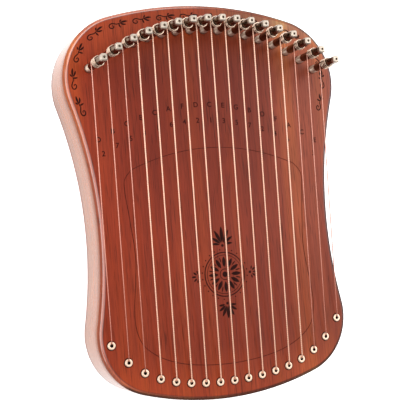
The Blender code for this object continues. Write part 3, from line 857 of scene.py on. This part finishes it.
def add_stroke(build, points, widths, rise=INK_RISE):
    """A flat stroke of varying width on the face, as a thin closed solid that is sunk into the wood."""
    rings = []
    for i, (point, width) in enumerate(zip(points, widths)):
        before = points[max(i - 1, 0)]
        after = points[min(i + 1, len(points) - 1)]
        along = (after - before).normalized()
        side = Vector((-along.y, along.x)) * width / 2
        left, right = point + side, point - side
        rings.append([(left.x, left.y, FACE_Z + rise), (right.x, right.y, FACE_Z + rise),
                      (right.x, right.y, FACE_Z - INK_DEPTH), (left.x, left.y, FACE_Z - INK_DEPTH)])
    join_rings(build, rings)


def leaf(build, base, angle, length, width, bend=0.0, steps=8):
    """A pointed leaf from base in the direction of angle, whose midrib bends by an angle over its length."""
    points, widths = [], []
    place = base.copy()
    for i in range(steps + 1):
        t = i / steps
        points.append(place.copy())
        widths.append(0.0001 + width * math.sin(math.pi * t) ** 0.8)
        heading = angle + bend * t
        place = place + Vector((math.cos(heading), math.sin(heading))) * length / steps
    add_stroke(build, points, widths)


def add_face_mark(name, build, material):
    add_piece(name, mesh_from(build, name), material, "harp", "front_mahogany")


def smooth_line(points, rounds):
    """An open line with its corners cut, over and over."""
    for _ in range(rounds):
        finer = [points[0]]
        for first, second in zip(points, points[1:]):
            finer.append(first.lerp(second, 0.25))
            finer.append(first.lerp(second, 0.75))
        points = finer + [points[-1]]
    return points


def scroll(build, place, along, flip):
    """One motif of the border: a stem that curls into a hook at one end and spreads three leaves at the other."""
    along = Matrix.Rotation(SCROLL_TILT * flip, 2) @ along
    side = Vector((-along.y, along.x)) * flip
    heading = math.atan2(along.y, along.x)

    def at(u, v):
        return place + (along * u + side * v) * SCROLL_UNIT

    stem = smooth_line([at(u, v) for u, v in SCROLL_STEM], 3)
    widths = [SCROLL_STEM_WIDTH * (0.6 + 0.5 * math.sin(math.pi * i / len(stem))) for i in range(len(stem))]
    add_stroke(build, stem, widths)
    for u, v, angle, length, width, bend in SCROLL_LEAVES:
        leaf(build, at(u, v), heading + angle * flip, length * SCROLL_UNIT, width * SCROLL_UNIT, bend * flip)


def scroll_places(inset_side):
    """Places and directions along the right half of the outline, a fixed step apart from the top centre."""
    places = []
    wanted = SCROLL_FIRST
    run = 0.0
    points = right_outline(SCROLL_INSET_TOP)
    for first, second in zip(points, points[1:]):
        length = (second - first).length
        while len(places) < SCROLLS_EACH_SIDE and run + length >= wanted:
            along = (second - first) / length
            out = (SCROLL_INSET_TOP - inset_side) * len(places) / (SCROLLS_EACH_SIDE - 1)
            places.append((first + along * (wanted - run) + Vector((-along.y, along.x)) * out, along))
            wanted += SCROLL_STEP
        run += length
    return places


def add_border(material):
    build = bmesh.new()
    for place, along in scroll_places(SCROLL_INSET_RIGHT):
        scroll(build, place, along, 1)
    for place, along in scroll_places(SCROLL_INSET_LEFT):
        scroll(build, Vector((-place.x, place.y)), Vector((-along.x, along.y)), -1)
    add_face_mark("border_scrolls", build, material)


def note_height(x, middle):
    """Height of a note mark: its row follows the arc of the pins, a touch lower on the right."""
    return middle - 2.9 * x * x - 0.032 * x


def add_note_marks(material):
    """Letters and digits between the strings, one pair for each string."""
    build = bmesh.new()
    for text, middle, first, step in NOTE_ROWS:
        for i, character in enumerate(text):
            x = first + step * i
            label = bpy.data.curves.new("note", "FONT")
            label.body = character
            label.size = NOTE_SIZE
            label.align_x = "CENTER"
            label.align_y = "CENTER"
            label.extrude = (INK_RISE + INK_DEPTH) / 2
            label.offset = 0.00012
            helper = bpy.data.objects.new("note", label)
            bpy.context.scene.collection.objects.link(helper)
            bpy.context.view_layer.update()
            graph = bpy.context.evaluated_depsgraph_get()
            mesh = bpy.data.meshes.new_from_object(helper.evaluated_get(graph))
            mesh.transform(Matrix.Translation((x, note_height(x, middle), FACE_Z + (INK_RISE - INK_DEPTH) / 2)))
            build.from_mesh(mesh)
            bpy.data.objects.remove(helper, do_unlink=True)
            bpy.data.meshes.remove(mesh)
    add_face_mark("note_marks", build, material)


def panel_points():
    """The line that frames the middle of the face: a bowed top, rounded corners, drawn-in sides and a bowed foot."""
    top_y, corner_y, corner_x = 0.0450, 0.0215, 0.0845
    waist_x, waist_y = 0.0800, -0.0450
    hip_x, hip_y = 0.0852, -0.0850
    bottom_y = -0.1428
    right = []
    for i in range(25):
        x = (corner_x - 0.006) * i / 24
        right.append(Vector((x, top_y - (top_y - corner_y - 0.004) * (x / corner_x) ** 2)))
    sides = ((corner_x, corner_y), (corner_x + 0.0015, 0.0150), (0.0828, -0.0150), (waist_x, waist_y), (0.0825, -0.0660),
             (hip_x, hip_y), (0.0860, -0.1025), (0.0815, -0.1175), (0.0710, -0.1268), (0.0600, -0.1328),
             (0.0450, -0.1380), (0.0228, -0.1416), (0.0, bottom_y))
    right += [Vector(point) for point in sides]
    left = [Vector((-p.x, p.y)) for p in reversed(right[1:-1])]
    return smoothed(right + left, 3)


def smoothed(points, rounds):
    """A closed line with its corners cut, over and over."""
    for _ in range(rounds):
        finer = []
        for i, point in enumerate(points):
            after = points[(i + 1) % len(points)]
            finer.append(point.lerp(after, 0.25))
            finer.append(point.lerp(after, 0.75))
        points = finer
    return points


def add_eyelet_shadows(material):
    """A thin dark ring round each eyelet: painted shadow of the flange on the face."""
    build = bmesh.new()
    for number in string_numbers():
        circle_line(build, eyelet_place(number).xy, EYELET_FLANGE_RADIUS + 0.00015, 0.0007, EYELET_SIDES)
    add_face_mark("eyelet_shadows", build, material)


def add_panel_line(material):
    points = panel_points()
    width = 0.0006
    rings = []
    for i, point in enumerate(points):
        along = (points[(i + 1) % len(points)] - points[i - 1]).normalized()
        side = Vector((-along.y, along.x)) * width / 2
        left, right = point + side, point - side
        rings.append([(left.x, left.y, FACE_Z + INK_RISE), (right.x, right.y, FACE_Z + INK_RISE),
                      (right.x, right.y, FACE_Z - INK_DEPTH), (left.x, left.y, FACE_Z - INK_DEPTH)])
    build = bmesh.new()
    join_rings(build, rings, closed_ring=True)
    add_face_mark("panel_line", build, material)


def disc(build, centre, radius, sides=20):
    """A filled round dot."""
    rings = []
    for z in (FACE_Z - INK_DEPTH, FACE_Z + INK_RISE):
        angles = [2 * math.pi * i / sides for i in range(sides)]
        rings.append([(centre.x + radius * math.cos(a), centre.y + radius * math.sin(a), z) for a in angles])
    join_rings(build, rings)


def circle_line(build, centre, radius, width, sides=96):
    """A thin burnt circle."""
    inner, outer = radius - width / 2, radius + width / 2
    profile = ((inner, INK_RISE), (outer, INK_RISE), (outer, -INK_DEPTH), (inner, -INK_DEPTH))
    turned(build, profile, sides, Vector((centre.x, centre.y, FACE_Z)))


def polar(centre, radius, angle):
    return centre + Vector((math.cos(angle), math.sin(angle))) * radius


def leaf_fan(build, centre, angle, leaves):
    """A fan of leaves that opens in the direction of angle, symmetric about its middle leaf, over a round bud."""
    disc(build, centre, FAN_BUD)
    for turn, length, width in leaves:
        for side in (1, -1) if turn else (1,):
            heading = angle + side * turn
            leaf(build, polar(centre, FAN_OFFSET, heading), heading, length * MM, width * MM, side * FAN_BEND * turn, 12)


def add_rosette(material):
    """A turned rosette in the middle of the panel, with fans of leaves above, below and beside it."""
    build = bmesh.new()
    centre = Vector(ROSETTE_CENTRE)
    for radius, width in ROSETTE_RINGS:
        circle_line(build, centre, radius * MM, width * MM)
    disc(build, centre, ROSETTE_HEART, 32)
    for i in range(ROSETTE_PETALS):
        angle = 2 * math.pi * i / ROSETTE_PETALS
        between = angle + math.pi / ROSETTE_PETALS
        leaf(build, polar(centre, 0.0062, angle), angle, 0.0092, 0.0032, 0.0, 12)
        leaf(build, polar(centre, 0.0105, between), between, 0.0050, 0.0010)
    for i in range(2 * ROSETTE_PETALS):
        disc(build, polar(centre, 0.0216, math.pi * (i + 0.5) / ROSETTE_PETALS), 0.00062, 12)
    quarter = math.pi / 2
    leaf_fan(build, centre + Vector((0.0, 0.0250)), quarter, TALL_FAN)
    leaf_fan(build, centre - Vector((0.0, 0.0250)), -quarter, LOW_FAN)
    leaf_fan(build, centre + Vector((0.0244, 0.0)), 0.0, SIDE_FAN)
    leaf_fan(build, centre - Vector((0.0244, 0.0)), 2 * quarter, SIDE_FAN)
    add_face_mark("rosette", build, material)


def dress_node(name, material):
    node = frame["nodes"][name]
    node.data.materials.clear()
    node.data.materials.append(material)


def add_floor():
    """A pale floor, a hair below the harp and clear from its underside, so that the back can be looked at too."""
    mesh = bpy.data.meshes.new("floor")
    half = FLOOR_SIZE / 2
    corners = [(x, y, -FLOOR_DROP) for x, y in ((-half, -half), (half, -half), (half, half), (-half, half))]
    mesh.from_pydata(corners, [], [(0, 1, 2, 3)])
    floor = bpy.data.objects.new("floor", mesh)
    bpy.context.scene.collection.objects.link(floor)
    material, tree, shader = new_material("floor")
    shader.inputs["Base Color"].default_value = (*FLOOR_COLOUR, 1.0)
    shader.inputs["Roughness"].default_value = 0.9
    shader.inputs["Emission Color"].default_value = (1.0, 1.0, 1.0, 1.0)
    shader.inputs["Emission Strength"].default_value = FLOOR_GLOW
    geometry = add_node(tree, "ShaderNodeNewGeometry")
    clear = add_node(tree, "ShaderNodeBsdfTransparent")
    one_sided = add_node(tree, "ShaderNodeMixShader")
    tree.links.new(geometry.outputs["Backfacing"], one_sided.inputs[0])
    tree.links.new(shader.outputs["BSDF"], one_sided.inputs[1])
    tree.links.new(clear.outputs["BSDF"], one_sided.inputs[2])
    tree.links.new(one_sided.outputs["Shader"], tree.nodes["Material Output"].inputs["Surface"])
    mesh.materials.append(material)


def add_area_light(name, place, target, size, watts):
    light = bpy.data.lights.new(name, "AREA")
    light.shape = "RECTANGLE"
    light.size, light.size_y = size
    light.energy = watts
    lamp = bpy.data.objects.new(name, light)
    bpy.context.scene.collection.objects.link(lamp)
    lamp.rotation_euler = (Vector(target) - Vector(place)).to_track_quat("-Z", "Y").to_euler()
    lamp.location = place


def add_lights():
    world = bpy.data.worlds.new("studio")
    world.use_nodes = True
    sky = world.node_tree.nodes["Background"]
    sky.inputs["Color"].default_value = (1.0, 1.0, 1.0, 1.0)
    sky.inputs["Strength"].default_value = SKY_STRENGTH
    bpy.context.scene.world = world
    target = (0.0, 0.0, 0.03)
    add_area_light("key", (-0.3, 1.3, 1.3), target, (2.4, 1.0), 18.5)
    add_area_light("left_card", (-1.5, -0.1, 0.45), target, (1.8, 0.9), 10.8)
    add_area_light("edge_card", (-0.92, 0.05, 1.31), target, (1.2, 2.4), 9.5)
    add_area_light("right_card", (1.1, 0.2, 1.0), target, (1.1, 1.5), 16.0)


def add_camera():
    data = bpy.data.cameras.new("camera")
    data.lens = CAMERA_LENS_MM
    data.sensor_width = SENSOR_MM
    camera = bpy.data.objects.new("camera", data)
    bpy.context.scene.collection.objects.link(camera)
    axes = Matrix((CAMERA_RIGHT, CAMERA_UP, CAMERA_BACK)).transposed()
    camera.matrix_world = Matrix.Translation(CAMERA_PLACE) @ axes.to_4x4()
    bpy.context.scene.camera = camera
    bpy.context.scene.view_settings.view_transform = "Standard"


def dress_harp():
    along_length = (1.0, 0.035, 1.0)
    round_side = (0.05, 0.05, 1.0)
    across = (0.05, 1.0, 1.0)
    front = wood_material("front_wood", (0.185, 0.022, 0.009), (0.22, 0.028, 0.010), (0.27, 0.039, 0.011),
                          along_length, FACE_ROUGHNESS)
    finish_and_paint_edge(front)
    paint_face_light_and_drift(front)
    side = wood_material("side_wood", (0.24, 0.062, 0.010), (0.27, 0.072, 0.011), (0.31, 0.083, 0.013),
                         round_side, 0.2)
    finish_wall(side)
    back = wood_material("back_wood", (0.13, 0.018, 0.009), (0.18, 0.027, 0.012), (0.22, 0.036, 0.014),
                         along_length, 0.4)
    maple = wood_material("maple", (0.50, 0.31, 0.16), (0.56, 0.36, 0.19), (0.63, 0.43, 0.24), across, 0.6, 0.8)
    spruce = wood_material("spruce", (0.65, 0.47, 0.28), (0.7, 0.53, 0.33), (0.76, 0.6, 0.38), across, 0.65, 0.85)
    ink = dark_matte_material("burnt_wood_and_painted_shade", (0.012, 0.003, 0.002), (0.030, 0.006, 0.004))
    scorch = dark_matte_material("scorched_line", (0.045, 0.007, 0.004), (0.110, 0.016, 0.009))
    add_front_plate(front)
    add_rim(side)
    add_back_plate(back)
    for name in ("pin_block", "tail_block"):
        dress_node(name, maple)
    for name in ("upper_brace", "lower_brace"):
        dress_node(name, spruce)
    # The eyelets' bores hold a near-black sleeve: painted shade
    add_eyelets(metal_material("brass", (0.82, 0.60, 0.45), (0.92, 0.70, 0.54), 0.5, 600.0),
                dark_matte_material("dark_bore_shade", (0.006, 0.004, 0.003), (0.012, 0.007, 0.005)))
    add_pins(nickel_material("nickel", (0.46, 0.42, 0.38), (0.60, 0.56, 0.51)))
    # The steel's salmon tint is a painted reflection of the red face
    plain = metal_material("plain_steel", (0.60, 0.30, 0.23), (0.74, 0.40, 0.31), 0.4, 900.0)
    wound = wound_material("wound_bronze", (0.67, 0.385, 0.27), (0.85, 0.535, 0.40), 3600.0)
    # The turns on the pins are a darker copy of the wire: painted shade of the coil
    winding = metal_material("winding", (0.52, 0.38, 0.29), (0.76, 0.58, 0.45), 0.2, 900.0)
    # Both wires darker and redder towards the face: painted reflection of the face
    for wire, low in ((plain, (0.68, 0.46, 0.42)), (wound, (1.0, 0.94, 0.90))):
        tint(wire, object_share(wire.node_tree, "Z", FACE_Z, FACE_Z + WINDING_START), ((0.0, low), (1.0, grey(1.0))))
    add_strings(plain, wound, winding)
    add_border(ink)
    add_note_marks(dark_matte_material("note_ink", (0.022, 0.004, 0.003), (0.050, 0.008, 0.005)))
    add_panel_line(scorch)
    # Painted shadow rings round the eyelets, in the burnt wood's colour
    add_eyelet_shadows(ink)
    add_rosette(ink)


dress_harp()
add_floor()
add_lights()
add_camera()
